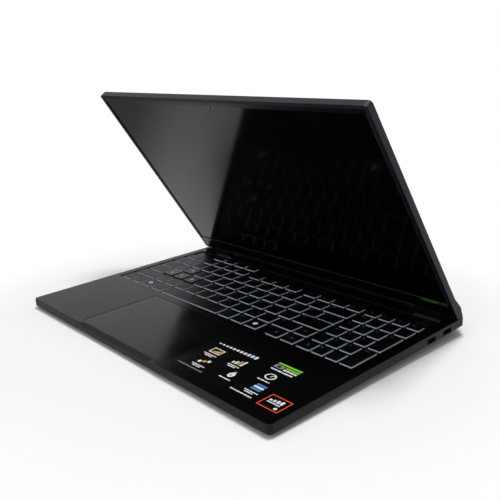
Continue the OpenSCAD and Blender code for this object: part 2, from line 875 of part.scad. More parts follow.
// Fan housing: plates above and below with round intakes, a wall on three sides, open to the fins
module fan_housing(side) {
    color("#2c2d30") on_desk() mirrored(side) translate([fan_x, fan_y, 0]) {
        difference() {
            block(-fan_half, fan_half, -fan_half, fin_y0 - 0.5 - fan_y, fan_z, fan_z + fan_h);
            block(-fan_half + 1.2, fan_half - 1.2, -fan_half + 1.2, fin_y0 + 5 - fan_y,
                fan_z + 0.5, fan_z + fan_h - 0.5);
            translate([0, 0, fan_z + fan_h - 1]) cylinder(h = 3, r = fan_eye);
            translate([0, 0, fan_z - 1]) difference() {
                cylinder(h = 2, r = fan_eye);
                cylinder(h = 3, r = 8);
                for (a = [30:120:270]) rotate(a) translate([0, -1.2, 0]) cube([fan_eye + 1, 2.4, 3]);
            }
        }
        translate([0, 0, fan_z]) cylinder(h = fan_h - 1, r = shaft_r);
    }
}

module fan_rotor(side) {
    color("#3a3b3e") on_desk() mirrored(side) translate([fan_x, fan_y, fan_z + 0.9])
        difference() {
            linear_extrude(fan_h - 1.9) {
                circle(hub_r);
                difference() {
                    for (i = [0:blades - 1]) rotate(i * 360 / blades)
                        translate([hub_r - 1, 0]) rotate(22) translate([0, -0.3]) square([fan_r, 0.6]);
                    difference() {
                        circle(fan_r + 20);
                        circle(fan_r);
                    }
                }
            }
            translate([0, 0, -1]) cylinder(h = fan_h, r = shaft_r + run_fit);
        }
}

module fan_housing_left() { fan_housing(-1); }
module fan_housing_right() { fan_housing(1); }
module fan_rotor_left() { fan_rotor(-1); }
module fan_rotor_right() { fan_rotor(1); }

module battery() {
    color("#1a1b1d") on_desk() {
        block(-battery_x, battery_x, battery_y0, battery_y1, floor_z + seat, floor_z + seat + cell_h);
        for (i = [-2:1]) {
            x = i * (cell_w + cell_gap) + cell_gap / 2;
            rounded_block(x, x + cell_w, battery_y0 + 2, battery_y1 - 2, floor_z + seat,
                -pad_tray - bracket_t - 0.4, 2);
        }
    }
}

module solid_state_drive() {
    color("#20242c") on_desk() {
        block(drive_x, drive_x + drive_l, drive_y, drive_y + drive_w, board_z - 2, board_z - 1.2);
        block(drive_x, drive_x + 8, drive_y - 2, drive_y + drive_w + 2, board_z - 3, board_z);
        for (i = [0:2])
            block(drive_x + 12 + i * drive_w, drive_x + 6 + (i + 1) * drive_w, drive_y + 3,
                drive_y + drive_w - 3, board_z - 3.2, board_z - 2 + eps);
    }
}

module memory_modules() {
    color("#1f4d35") on_desk() for (j = [0, 1]) {
        z = board_z - 1.2 - j * 1.8;
        block(-memory_x, memory_x, memory_y, memory_y + memory_w, z - 1, z);
        for (i = [-2:1]) block(i * 16 + 2, i * 16 + 14, memory_y + 4, memory_y + 16, z - 1.7, z - 1 + eps);
        if (j == 0) block(-memory_x - 2, memory_x + 2, memory_y + memory_w + 0.05,
            memory_y + memory_w + 6, board_z - 4.6, board_z);
    }
}

module wireless_card() {
    color("#20242c") on_desk() {
        block(card_x, card_x + card_w, card_y, card_y + card_l, board_z - 1.6, board_z - 0.8);
        block(card_x, card_x + card_w, card_y - 6, card_y - 0.05, board_z - 2.4, board_z);
        block(card_x + 3, card_x + card_w - 3, card_y + 6, card_y + card_l - 8,
            board_z - 2.6, board_z - 1.6 + eps);
    }
}

module speaker(side) {
    color("#26272a") on_desk() mirrored(side) difference() {
        rounded_block(speaker_x0, speaker_x1, speaker_y0, speaker_y1, floor_z + seat, -deck_t - 1.3, 3);
        translate([(speaker_x0 + speaker_x1) / 2, (speaker_y0 + speaker_y1) / 2, floor_z - 1])
            cylinder(h = 3, r = 8);
    }
}

module speaker_left() { speaker(-1); }
module speaker_right() { speaker(1); }

// Socket shell: a box from the side wall inwards, with the opening and a tongue in it
module socket(side, y, w, h, x_in, tongue) {
    mirrored(side) {
        difference() {
            block(x_in, shell_x, y - w / 2 - shell_t, y + w / 2 + shell_t,
                socket_z - h / 2 - shell_t, socket_z + h / 2 + shell_t);
            block(x_in + 1, shell_x + 1, y - w / 2, y + w / 2, socket_z - h / 2, socket_z + h / 2);
        }
        if (tongue > 0) block(x_in + 0.5, shell_x - 1, y - w / 2 + 1.2, y + w / 2 - 1.2,
            socket_z + 0.2, socket_z + 0.2 + tongue);
    }
}

module usb_a_sockets() {
    color("#8d9095") on_desk() {
        for (y = usb_a_right) socket(1, y, usb_a_w, usb_a_h, right_in, 1.6);
        socket(-1, usb_a_left, usb_a_w, usb_a_h, left_in, 1.6);
    }
}

module hdmi_socket() {
    color("#8d9095") on_desk() socket(-1, hdmi_y, hdmi_w, hdmi_h, left_in, 1.2);
}

module network_socket() {
    color("#77797e") on_desk() socket(-1, network_y, network_w, network_h, shell_x - plug_depth, 0);
}

module usb_c_sockets() {
    color("#8d9095") on_desk() for (y = usb_c_left) {
        difference() {
            block(-shell_x, -left_in, y - usb_c_w / 2 - 0.5, y + usb_c_w / 2 + 0.5,
                socket_z - usb_c_h / 2 - 0.4, socket_z + usb_c_h / 2 + 0.4);
            usb_c_slot(y, body_w / 2 - left_in);
        }
        block(-shell_x + 1, -left_in - 0.5, y - usb_c_w / 2 + 1.6, y + usb_c_w / 2 - 1.6,
            socket_z - 0.35, socket_z + 0.35);
    }
}

// Round socket with a bore, and a contact pin in it where pin is above 0
module round_socket(y, r, pin) {
    translate([-shell_x, y, socket_z]) {
        difference() {
            block(0, plug_depth + 1, -r - 1, r + 1, -min(r + 0.6, 2.7), min(r + 0.6, 2.7));
            translate([-1, 0, 0]) rotate([0, 90, 0]) cylinder(h = plug_depth + 1, r = r);
        }
        if (pin > 0) translate([2, 0, 0]) rotate([0, 90, 0]) cylinder(h = plug_depth - 1.5, r = pin);
    }
}

module audio_jack() {
    color("#1c1c1e") on_desk() round_socket(audio_y, jack_r, 0);
}

module power_socket() {
    color("#1c1c1e") on_desk() round_socket(power_y, power_r, 0.5);
}

// ---- Hinges --------------------------------------------------------------------------------

module hinge_bracket(side) {
    color("#6f7277") on_desk() mirrored(side) {
        translate([0, hinge_y, hinge_z]) {
            along_x(split_x + 0.3, notch_x1 - 1.6) circle(knuckle_r);
            along_x(notch_x0 + 0.6, split_x + 0.4) circle(pin_r);
        }
        block(web_x0, web_x1, hinge_y - web_t / 2, hinge_y + web_t / 2, -deck_t - 1.2, hinge_z);
        block(web_x0, web_x1, well[3] + 3.4, hinge_y + web_t / 2, -deck_t - 1.2, -deck_t);
    }
}

module hinge_cover_outline() {
    circle(barrel_r);
    translate([-barrel_r, -hinge_z]) square([2 * barrel_r, hinge_z]);
}

module hinge_cover(side) {
    color("#202124") on_desk() mirrored(side) translate([0, hinge_y, hinge_z]) {
        along_x(split_x + 0.5, notch_x1 - 1.3) difference() {
            hinge_cover_outline();
            circle(knuckle_r + 0.15);
            translate([-web_t / 2 - 0.15, -hinge_z - 1]) square([web_t + 0.3, hinge_z + 1]);
        }
        along_x(notch_x1 - 1.3, notch_x1 - 0.4) hinge_cover_outline();
    }
}

module hinge_arm(side) {
    color("#6f7277") on_lid() mirrored(side) difference() {
        union() {
            along_x(notch_x0 + 0.4, split_x) circle(knuckle_r);
            block(notch_x0 + 0.4, split_x, -12, 0, arm_z, arm_z + arm_t);
            block(notch_x0 + 0.4, notch_x1 - 2, -arm_l, -8, arm_z, arm_z + arm_t);
        }
        along_x(notch_x0, split_x + 1) circle(pin_r + run_fit);
        for (x = [notch_x0 + 6, notch_x1 - 8], y = [-14, -arm_l + 6])
            translate([x, y, arm_z - 1]) cylinder(h = 4, r = 1.1);
    }
}

module hinge_bracket_left() { hinge_bracket(-1); }
module hinge_bracket_right() { hinge_bracket(1); }
module hinge_cover_left() { hinge_cover(-1); }
module hinge_cover_right() { hinge_cover(1); }
module hinge_arm_left() { hinge_arm(-1); }
module hinge_arm_right() { hinge_arm(1); }

// ---- Lid -----------------------------------------------------------------------------------

module hinge_notches() {
    for (side = [-1, 1]) mirrored(side)
        block(notch_x0, notch_x1, notch_y, 5, lid_in - 1, lid_out + 1);
}

module lid_cover() {
    color("#33353a") on_lid() difference() {
        union() {
            difference() {
                union() {
                    rounded_block(-lid_half, lid_half, -lid_far, 20, lid_in, lid_out - lid_bevel, lid_r);
                    translate([-lid_half, -lid_far, lid_out - lid_bevel])
                        drafted(2 * lid_half, lid_far + 20, lid_bevel, lid_r, lid_bevel);
                }
                block(-body_w, body_w, 0, 30, -10, 10);
                rounded_block(-pocket_w / 2, pocket_w / 2, -lid_len + rim_w, 20, lid_in - 1,
                    lid_out - cover_t, rim_r);
            }
            along_x(-lid_half, lid_half) {
                translate([0, lid_out - lid_t / 2]) circle(lid_t / 2);
                translate([-nose_l, lid_in]) square([nose_l, lid_t]);
            }
        }
        hinge_notches();
    }
}

module display_panel() {
    color("#0c0d10") on_lid() {
        block(-panel_w / 2, panel_w / 2, picture_top - panel_edge, -chin_h + panel_low,
            panel_z, panel_z + panel_t);
        block(-panel_w / 2 + 24, panel_w / 2 - 24, -chin_h + panel_low - eps, -chin_h + 9,
            panel_z + 0.8, panel_z + 1.6);
    }
}

module display_frame() {
    half = pocket_w / 2 - gasket_w - 0.2;
    color("#222327") on_lid() difference() {
        union() {
            rounded_block(-half, half, -lid_len + rim_w + 0.15, -lid_len / 2, lid_in, panel_z - 0.05,
                rim_r);
            block(-half, half, -lid_len + rim_w + lid_r, -chin_h + 3, lid_in, panel_z - 0.05);
            block(-half, half, -chin_h + 3 - eps, -nose_l - seat, lid_in, lid_in + chin_t);
        }
        block(-display_w / 2, display_w / 2, picture_top, -chin_h, lid_in - 1, panel_z + 1);
        translate([0, camera_y, lid_in - 1]) cylinder(h = 4, r = lens_r + 0.1);
        hinge_notches();
    }
}

module edge_gasket() {
    half = pocket_w / 2;
    color("#121214") on_lid() for (side = [-1, 1]) mirrored(side)
        block(half - gasket_w - 0.1, half - 0.1, -lid_len + rim_w + lid_r, -chin_h,
            lid_in - 0.2, lid_in + 1);
}

module camera_module() {
    color("#101113") on_lid() {
        block(-camera_w / 2, camera_w / 2, -lid_len + rim_w + seat, picture_top - panel_edge - seat,
            panel_z, panel_z + 0.8);
        translate([0, camera_y, lid_in + 0.1]) cylinder(h = panel_z - lid_in, r = lens_r);
    }
}

module antennas() {
    color("#b59a52") on_lid() for (side = [-1, 1]) mirrored(side)
        block(antenna_x - antenna_w, antenna_x, -lid_len + rim_w + seat, picture_top - panel_edge - seat,
            panel_z, panel_z + 0.5);
}

top_case();
bottom_cover();
exhaust_hump();
front_feet();
rear_foot();
bottom_screws();
key_frame();
keyboard_plate();
dome_sheet();
touchpad_bracket();
mainboard();
cold_plate();
heat_pipes();
fin_stacks();
fan_housing_left();
fan_housing_right();
fan_rotor_left();
fan_rotor_right();
battery();
solid_state_drive();
memory_modules();
wireless_card();
speaker_left();
speaker_right();
power_socket();
network_socket();
hdmi_socket();
usb_a_sockets();
usb_c_sockets();
audio_jack();
hinge_bracket_left();
hinge_bracket_right();
hinge_cover_left();
hinge_cover_right();
hinge_arm_left();
hinge_arm_right();
lid_cover();
display_panel();
display_frame();
edge_gasket();
camera_module();
antennas();
touchpad();
power_button();
hot_keys();
function_keys();
number_keys();
upper_letter_keys();
middle_letter_keys();
lower_letter_keys();
game_keys();
modifier_keys();
space_bar();
enter_key();
arrow_keys();
pad_keys();
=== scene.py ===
"""Sixteen inch laptop computer: finishes, legends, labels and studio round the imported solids."""

import math

import bmesh
import bpy
import numpy as np
from mathutils import Matrix, Vector


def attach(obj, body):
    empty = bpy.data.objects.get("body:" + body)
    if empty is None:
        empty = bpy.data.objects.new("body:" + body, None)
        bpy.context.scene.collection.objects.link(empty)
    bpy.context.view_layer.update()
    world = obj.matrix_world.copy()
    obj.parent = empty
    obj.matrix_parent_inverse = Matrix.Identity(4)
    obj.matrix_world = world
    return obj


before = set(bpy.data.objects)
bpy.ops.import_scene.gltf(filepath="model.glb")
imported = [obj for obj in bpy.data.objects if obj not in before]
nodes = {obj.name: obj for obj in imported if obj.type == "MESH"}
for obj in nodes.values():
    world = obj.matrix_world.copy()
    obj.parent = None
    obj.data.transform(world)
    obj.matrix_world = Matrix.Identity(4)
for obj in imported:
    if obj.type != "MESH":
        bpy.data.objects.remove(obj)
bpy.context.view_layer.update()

# The deck plane and the inner face of the lid, in which the flat work is drawn in millimetres:
# x runs to the right, and y from the deck's front edge to the rear or from the hinge to the lid's top
MM = 0.001
DECK_TILT = math.radians(1.6)
LID_OPEN = math.radians(56.2)
DECK = Matrix.Translation((0, -0.1345606, 0.0111)) @ Matrix.Rotation(DECK_TILT, 4, "X")
HINGE = DECK @ Matrix.Translation((0, 0.2413, 0.0045))
LID = HINGE @ Matrix.Rotation(-LID_OPEN, 4, "X")
LID_FACE = LID @ Matrix.Translation((0, 0, -0.004)) @ Matrix.Rotation(math.pi, 4, "X")

# Heights of printed work in millimetres
PRINT_T = 0.04  # print on its own
LEGEND_T = 0.03  # ink on a key cap
FILM_T = 0.08  # film of a label, which carries its print
OVERPRINT = 0.01  # a print that lies over another
LETTER_T = 0.02  # half a letter's thickness, and a letter's middle stands OVERPRINT high
CAP_TOP = -0.1  # face of the key caps below the deck plane
CAP_DRAFT = 0.5  # inset of a cap's top from its foot


# ---- Shader trees --------------------------------------------------------------------------


class Wire:
    """A socket of a node tree that Python's operators work on."""

    def __init__(self, tree, socket):
        self.tree, self.socket = tree, socket

    def node(self, kind, settings=None, out=0, **sockets):
        """A new node with its settings and inputs; an input is named, or numbered as n0, n1."""
        made = self.tree.nodes.new(kind)
        for name, value in (settings or {}).items():
            setattr(made, name, value)
        for name, value in sockets.items():
            key = int(name[1:]) if name[1:].isdigit() else name.replace("_", " ")
            feed(self.tree, made.inputs[key], value)
        return Wire(self.tree, made.outputs[out])

    def maths(self, operation, a, b=0.0):
        return self.node("ShaderNodeMath", {"operation": operation}, n0=a, n1=b)

    def __add__(self, other):
        return self.maths("ADD", self, other)

    def __sub__(self, other):
        return self.maths("SUBTRACT", self, other)

    def __rsub__(self, other):
        return self.maths("SUBTRACT", other, self)

    def __mul__(self, other):
        return self.maths("MULTIPLY", self, other)

    __radd__, __rmul__ = __add__, __mul__

    def larger(self, other):
        return self.maths("MAXIMUM", self, other)

    def over(self, low, high):
        """0 below low, 1 above high, smooth between them."""
        return self.node(
            "ShaderNodeMapRange", {"interpolation_type": "SMOOTHSTEP"}, n0=self, n1=low, n2=high
        )

    def between(self, low, high, soft):
        """1 from low to high and 0 elsewhere, with soft ends."""
        return self.over(low - soft, low + soft) * (1 - self.over(high - soft, high + soft))

    def noise(self, scale, detail=3.0, rough=0.5):
        return self.node(
            "ShaderNodeTexNoise", Vector=self, Scale=scale, Detail=detail, Roughness=rough
        )

    def cells(self, scale, feature="F1"):
        return self.node("ShaderNodeTexVoronoi", {"feature": feature}, Vector=self, Scale=scale)

    def stretched(self, x, y, z):
        return self.node("ShaderNodeMapping", Vector=self, Scale=(x, y, z))

    def axis(self, name):
        return self.node("ShaderNodeSeparateXYZ", out=name, Vector=self)

    def mix(self, a, b):
        """The colour a where this mask is 0 and b where it is 1: a Mix node's colour sockets."""
        return self.node("ShaderNodeMix", {"data_type": "RGBA"}, out=2, n0=self, n6=tint(a), n7=tint(b))

    def bump(self, strength, distance):
        return self.node("ShaderNodeBump", Height=self, Strength=strength, Distance=distance)


def feed(tree, socket, value):
    """Link a wire to the socket, or set a plain value on it."""
    if isinstance(value, Wire):
        tree.links.new(value.socket, socket)
    else:
        socket.default_value = value


def tint(colour):
    """A colour as a Mix node takes it: a wire as it is, or red, green and blue with full alpha."""
    return colour if isinstance(colour, Wire) else (*colour, 1)


def scaled(colour, factor):
    return tuple(min(1, c * factor) for c in colour)


class Finish:
    """A material under way: its Principled shader, its place in space and its place on the deck."""

    def __init__(self, name, **fixed):
        self.material = bpy.data.materials.new(name)
        self.material.use_nodes = True
        self.tree = self.material.node_tree
        self.shader = self.tree.nodes["Principled BSDF"]
        self.set(**fixed)
        start = Wire(self.tree, None)
        self.place = start.node("ShaderNodeTexCoord", out="Object")
        self.normal = start.node("ShaderNodeNewGeometry", out="Normal")
        shift = -(Matrix.Rotation(-DECK_TILT, 3, "X") @ DECK.translation)
        self.deck = self.place.node(
            "ShaderNodeMapping", Vector=self.place, Location=tuple(shift), Rotation=(-DECK_TILT, 0, 0)
        )

    def set(self, **sockets):
        for key, value in sockets.items():
            feed(self.tree, self.shader.inputs[key.replace("_", " ")], value)
        return self.material


def moulded(name, colour, rough, grain=2600.0, depth=0.25, spread=0.12, **fixed):
    """Moulded plastic or paint: fine grain, faint cloudiness, and handling marks in its gloss."""
    skin = Finish(name, **fixed)
    cloud = skin.place.noise(9.0, detail=4)
    fine = skin.place.noise(grain, detail=2)
    marks = skin.place.noise(38.0, detail=5, rough=0.62)
    specks = skin.place.cells(grain * 0.6)
    base = (cloud * 0.55 + fine * 0.45).over(0.3, 0.7).mix(
        scaled(colour, 1 - spread), scaled(colour, 1 + spread)
    )
    gloss = rough - 0.05 + marks * 0.09 + cloud.over(0.45, 0.75) * 0.03
    grains = (fine * 0.6 + specks * 0.4).bump(depth, distance=0.00006)
    return skin.set(Base_Color=base, Roughness=gloss, Normal=grains)


def deck_finish():
    """Satin charcoal of the deck: soft grain, palm marks on the rest and worn outer edges, with its side
    faces painted lighter than its top and painted shade on the faces that turn down.
    """
    # metres from the deck's middle line and from its front edge
    side_edge, front_edge = (0.1758, 0.1766), (0.0004, 0.0012)
    rest_front, rest_rear, rest_soft = 0.004, 0.098, 0.02
    satin = Finish("deck_satin", IOR=1.47, Specular_IOR_Level=0.11)
    x, y = satin.deck.axis("X"), satin.deck.axis("Y")
    fine = satin.place.noise(3400.0, detail=2)
    cloud = satin.place.noise(7.0, detail=5, rough=0.6)
    palms = satin.deck.stretched(1, 1.6, 1).noise(14.0, detail=6, rough=0.62)
    # painted light: faces that stand up take the wall colour, several times lighter than the top of the
    # same moulding
    side = 1 - satin.normal.axis("Z").over(0.9, 0.98)
    top = (cloud * 0.6 + fine * 0.4).over(0.3, 0.7).mix(
        (0.0008, 0.0009, 0.001), (0.0017, 0.0018, 0.002)
    )
    wall = fine.mix((0.008, 0.0082, 0.0084), (0.0125, 0.0127, 0.013))
    edge = (x * x).over(*(e ** 2 for e in side_edge)) + (1 - y.over(*front_edge))
    rub = edge * satin.place.noise(220.0, detail=5, rough=0.7).over(0.5, 0.75)
    base = (rub * 0.2).mix(side.mix(top, wall), (0.025, 0.025, 0.027))
    # painted shade: faces that turn down are darkened
    under = (satin.normal.axis("Z") * -1.0).over(0.2, 0.5)
    base = under.mix(base, (0.0015, 0.0015, 0.0018))
    rest = y.between(rest_front, rest_rear, rest_soft) * palms.over(0.42, 0.7)
    gloss = 0.2 + fine * 0.04 + rest * 0.03 + side * 0.19
    return satin.set(Base_Color=base, Roughness=gloss, Normal=fine.bump(0.22, distance=0.00005))


def cap_finish(name, top_dark, top_pale, wall, glow, rough):
    """A key cap: a dark top with a fine grain over a pale clear skirt, which carries a faint painted
    glow.
    """
    rim_low, rim_high = -0.00055, -0.0004  # the dark top reaches down over this rim
    cap = Finish(name, Emission_Strength=1.0, Specular_IOR_Level=0.15)
    rim = cap.deck.axis("Z").over(rim_low, rim_high)
    up = cap.normal.axis("Z").over(0.75, 0.9).larger(rim)
    fine = cap.place.noise(4200.0, detail=2)
    finger = cap.place.noise(70.0, detail=4)
    top = (fine * 0.5 + finger * 0.5).over(0.35, 0.65).mix(top_dark, top_pale)
    skirt = cap.place.noise(60.0).over(0.35, 0.65).mix(scaled(wall, 0.85), wall)
    # painted glow: the pale skirts emit a faint bluish light that lifts them where they lie in shade
    # between the keys
    painted_skirt_glow = cap.place.noise(24.0).over(0.3, 0.7).mix(scaled(glow, 0.8), glow)
    return cap.set(
        Base_Color=up.mix(skirt, top),
        Roughness=rough + finger * 0.1 - (1 - up) * 0.1,
        Emission_Color=up.mix(painted_skirt_glow, (0.0, 0.0, 0.0)),
        Normal=fine.bump(0.2, distance=0.00004),
    )


def screen_finish():
    """The switched off panel under its film: very dark, with wiping marks, sparkle and dust."""
    film = Finish("screen_film", IOR=1.5, Specular_IOR_Level=0.26)
    wipes = film.place.stretched(1, 0.35, 0.35).noise(26.0, detail=6, rough=0.65)
    sparkle = film.place.noise(9000.0, detail=1)
    dust = 1 - film.place.cells(420.0).over(0.04, 0.07)
    base = wipes.over(0.3, 0.7).mix((0.0001, 0.0001, 0.0002), (0.0003, 0.0003, 0.0004))
    base = (dust * 0.1).mix(base, (0.008, 0.008, 0.009))
    return film.set(
        Base_Color=base, Roughness=0.07 + wipes * 0.05, Normal=sparkle.bump(0.05, distance=0.00002)
    )


def metal(name, colour, rough, grain=(1, 1, 1), scale=900.0, depth=0.15, spots=0.0):
    """Plated, rolled, painted or brushed metal with drawn lines, tarnish and small pits."""
    plate = Finish(name, Metallic=1.0)
    lines = plate.place.stretched(*grain).noise(scale, detail=4, rough=0.6)
    tarnish = plate.place.noise(45.0, detail=5, rough=0.6)
    base = (lines * 0.5 + tarnish * 0.5).over(0.3, 0.7).mix(scaled(colour, 0.78), scaled(colour, 1.12))
    if spots:
        pits = plate.place.noise(500.0, detail=3).over(0.68, 0.74)
        base = (pits * spots).mix(base, scaled(colour, 0.4))
    gloss = rough + lines * 0.12 + tarnish * 0.08
    return plate.set(Base_Color=base, Roughness=gloss, Normal=lines.bump(depth, distance=0.00004))


def rubber(name, colour, rough=0.72):
    """Rubber or silicone with pores and pale dust."""
    skin = Finish(name, Specular_IOR_Level=0.3)
    pores = skin.place.noise(1500.0, detail=3)
    dust = skin.place.noise(55.0, detail=5).over(0.5, 0.75)
    dusty = tuple(c * 2.4 + 0.01 for c in colour)
    base = (dust * 0.5).mix(pores.mix(scaled(colour, 0.8), colour), dusty)
    return skin.set(
        Base_Color=base, Roughness=rough + dust * 0.12, Normal=pores.bump(0.35, distance=0.0001)
    )


def circuit_finish():
    """Green circuit board: copper runs under the mask, small vias, and a slight orange peel."""
    board = Finish("board_mask", Coat_Weight=0.25, Coat_Roughness=0.3)
    gaps = board.place.stretched(1, 0.25, 1).cells(320.0, "DISTANCE_TO_EDGE").over(0.02, 0.05)
    vias = 1 - board.place.cells(520.0).over(0.1, 0.16)
    cloud = board.place.noise(22.0, detail=4)
    mask = cloud.mix((0.006, 0.06, 0.034), (0.012, 0.085, 0.05))
    base = vias.mix(gaps.mix((0.03, 0.17, 0.09), mask), (0.42, 0.34, 0.16))
    return board.set(
        Base_Color=base, Roughness=0.42 + cloud * 0.12, Normal=(1 - gaps).bump(0.3, distance=0.00006)
    )


def print_finish(name, colour, glow=0.0, rough=0.5):
    """Printed ink: slightly uneven cover and a dry surface, and painted glow in the ink's own colour
    where glow isn't 0.
    """
    # painted glow: where glow isn't 0 the ink emits its own colour
    ink = Finish(name, Specular_IOR_Level=0.3, Emission_Strength=glow)
    cover = ink.place.noise(2400.0, detail=3)
    base = cover.over(0.25, 0.6).mix(scaled(colour, 0.8), colour)
    return ink.set(
        Base_Color=base, Emission_Color=base, Roughness=rough + cover * 0.15,
        Normal=cover.bump(0.1, distance=0.00002),
    )


def label_film():
    """Black printed film of the labels, a little glossier than the deck."""
    film = Finish("label_film", Specular_IOR_Level=0.12)
    cover = film.place.noise(900.0, detail=3)
    scuffs = film.place.stretched(1, 0.15, 1).noise(120.0, detail=5, rough=0.7)
    base = cover.mix((0.0009, 0.001, 0.0011), (0.0018, 0.0019, 0.0021))
    return film.set(
        Base_Color=base, Roughness=0.2 + scuffs * 0.12, Normal=scuffs.bump(0.06, distance=0.00003)
    )


FINISH = {
    "deck": deck_finish(),
    "cover": moulded("cover_grain", (0.0085, 0.0086, 0.0088), 0.55, grain=1500.0, depth=0.5,
                     Specular_IOR_Level=0.1),
    "lid": metal("lid_paint", (0.025, 0.027, 0.034), 0.4, grain=(0.05, 1, 1), scale=2200.0,
                 depth=0.08),
    "bezel": moulded("bezel_satin", (0.0012, 0.0013, 0.0016), 0.28, grain=3000.0, depth=0.15,
                     Specular_IOR_Level=0.24),
    "screen": screen_finish(),
    # the glow of the key caps' skirts is painted glow
    "cap": cap_finish("cap_black", (0.0009, 0.001, 0.0011), (0.0019, 0.002, 0.0022),
                      wall=(0.56, 0.63, 0.74), glow=(0.02, 0.023, 0.029), rough=0.36),
    "game_cap": cap_finish("cap_clear", (0.004, 0.0042, 0.0046), (0.007, 0.0073, 0.008),
                           wall=(0.006, 0.0062, 0.007), glow=(0.0, 0.0, 0.0), rough=0.26),
    "frame": moulded("key_frame_satin", (0.001, 0.0011, 0.0012), 0.34, grain=3200.0, depth=0.2,
                     Specular_IOR_Level=0.13),
    "pad": moulded("touch_silk", (0.0008, 0.0009, 0.001), 0.16, grain=5200.0, depth=0.1, spread=0.08,
                   Specular_IOR_Level=0.14),
    "rubber": rubber("foot_rubber", (0.016, 0.016, 0.017)),
    "seal": rubber("seal_rubber", (0.004, 0.004, 0.0045), 0.6),
    "dome": rubber("dome_silicone", (0.3, 0.31, 0.34), 0.5),
    "steel": metal("steel_plated", (0.55, 0.56, 0.58), 0.3, grain=(1, 0.08, 1), spots=0.3),
    "hinge": metal("hinge_steel", (0.022, 0.022, 0.024), 0.35, grain=(0.05, 1, 1), spots=0.3),
    "copper": metal("copper_bare", (0.8, 0.46, 0.32), 0.28, grain=(0.1, 1, 1), spots=0.25),
    "fins": metal("fin_metal", (0.66, 0.67, 0.69), 0.34, grain=(1, 0.1, 1)),
    "board": circuit_finish(),
    "wrap": moulded("cell_film", (0.012, 0.012, 0.013), 0.4, grain=700.0, depth=0.2),
    "shell": metal("socket_shell", (0.6, 0.61, 0.63), 0.32, grain=(0.1, 1, 1), spots=0.2),
    "socket": moulded("socket_black", (0.005, 0.005, 0.0055), 0.5, grain=1800.0,
                      Specular_IOR_Level=0.3),
    "usb_shell": metal("usb_shell_dark", (0.035, 0.035, 0.038), 0.42, grain=(0.1, 1, 1), spots=0.2),
    "gold": metal("contact_gold", (0.85, 0.62, 0.28), 0.3),
    # the glow of the legend inks is painted glow
    "ink": print_finish("legend_ink", (0.17, 0.18, 0.2), 0.05),
    "bright_ink": print_finish("legend_pale_painted_glow", (0.8, 0.82, 0.85), 0.25),
    "teal": print_finish("power_mark", (0.05, 0.09, 0.1)),
    # painted highlights of the chin's edges and of the chin label's top
    "painted_edge_highlight": print_finish("panel_edge", (0.13, 0.135, 0.135)),
    "dim_green": print_finish("chin_green", (0.03, 0.12, 0.014)),
    "painted_green_highlight": print_finish("chin_green_painted_highlight", (0.09, 0.3, 0.04)),
    "dim_grey": print_finish("chin_grey", (0.016, 0.018, 0.018)),
    "white": print_finish("label_white", (0.78, 0.78, 0.8)),
    "grey": print_finish("label_grey", (0.2, 0.21, 0.22)),
    "orange": print_finish("label_orange", (0.8, 0.075, 0.008)),
    "amber": print_finish("label_amber", (0.68, 0.33, 0.03)),
    "green": print_finish("label_green", (0.2, 0.62, 0.03)),
    "blue": print_finish("label_blue", (0.05, 0.2, 0.55)),
    "film": label_film(),
    "glass": moulded("lens_glass", (0.01, 0.011, 0.016), 0.08, grain=300.0, depth=0.02,
                     Coat_Weight=1.0),
}

NODE_FINISH = {
    "deck": "top_case exhaust_hump",
    "cover": "bottom_cover fan_housing_left fan_housing_right speaker_left speaker_right",
    "rubber": "front_feet rear_foot",
    "steel": "bottom_screws keyboard_plate touchpad_bracket",
    "frame": "key_frame power_button hinge_cover_left hinge_cover_right",
    "dome": "dome_sheet",
    "board": "mainboard solid_state_drive memory_modules wireless_card",
    "copper": "cold_plate heat_pipes antennas",
    "fins": "fin_stacks",
    "socket": "fan_rotor_left fan_rotor_right power_socket network_socket audio_jack camera_module",
    "wrap": "battery",
    "shell": "hdmi_socket usb_c_sockets",
    "usb_shell": "usb_a_sockets",
    "hinge": "hinge_bracket_left hinge_bracket_right hinge_arm_left hinge_arm_right",
    "lid": "lid_cover",
    "screen": "display_panel",
    "bezel": "display_frame",
    "seal": "edge_gasket",
    "pad": "touchpad",
    "cap": "hot_keys function_keys number_keys upper_letter_keys middle_letter_keys "
    "lower_letter_keys modifier_keys space_bar enter_key arrow_keys pad_keys",
    "game_cap": "game_keys",
}
for finish, names in NODE_FINISH.items():
    for name in names.split():
        nodes[name].data.materials.clear()
        nodes[name].data.materials.append(FINISH[finish])


# ---- Flat work: labels and legends ---------------------------------------------------------


def placed(name, data):
    """A new object in the scene."""
    holder = bpy.data.objects.new(name, data)
    bpy.context.scene.collection.objects.link(holder)
    return holder


def plain_mesh(holder):
    """The finished form of an object, with its modifiers or its curve worked out."""
    depsgraph = bpy.context.evaluated_depsgraph_get()
    return bpy.data.meshes.new_from_object(holder.evaluated_get(depsgraph))


def settle(mesh, matrix, name, body, finishes):
    """A mesh drawn in millimetres becomes a piece in its place, riding on its body."""
    mesh.transform(matrix @ Matrix.Scale(MM, 4))
    for finish in finishes:
        mesh.materials.append(FINISH[finish])
    piece = placed(name, mesh)
    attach(piece, body)


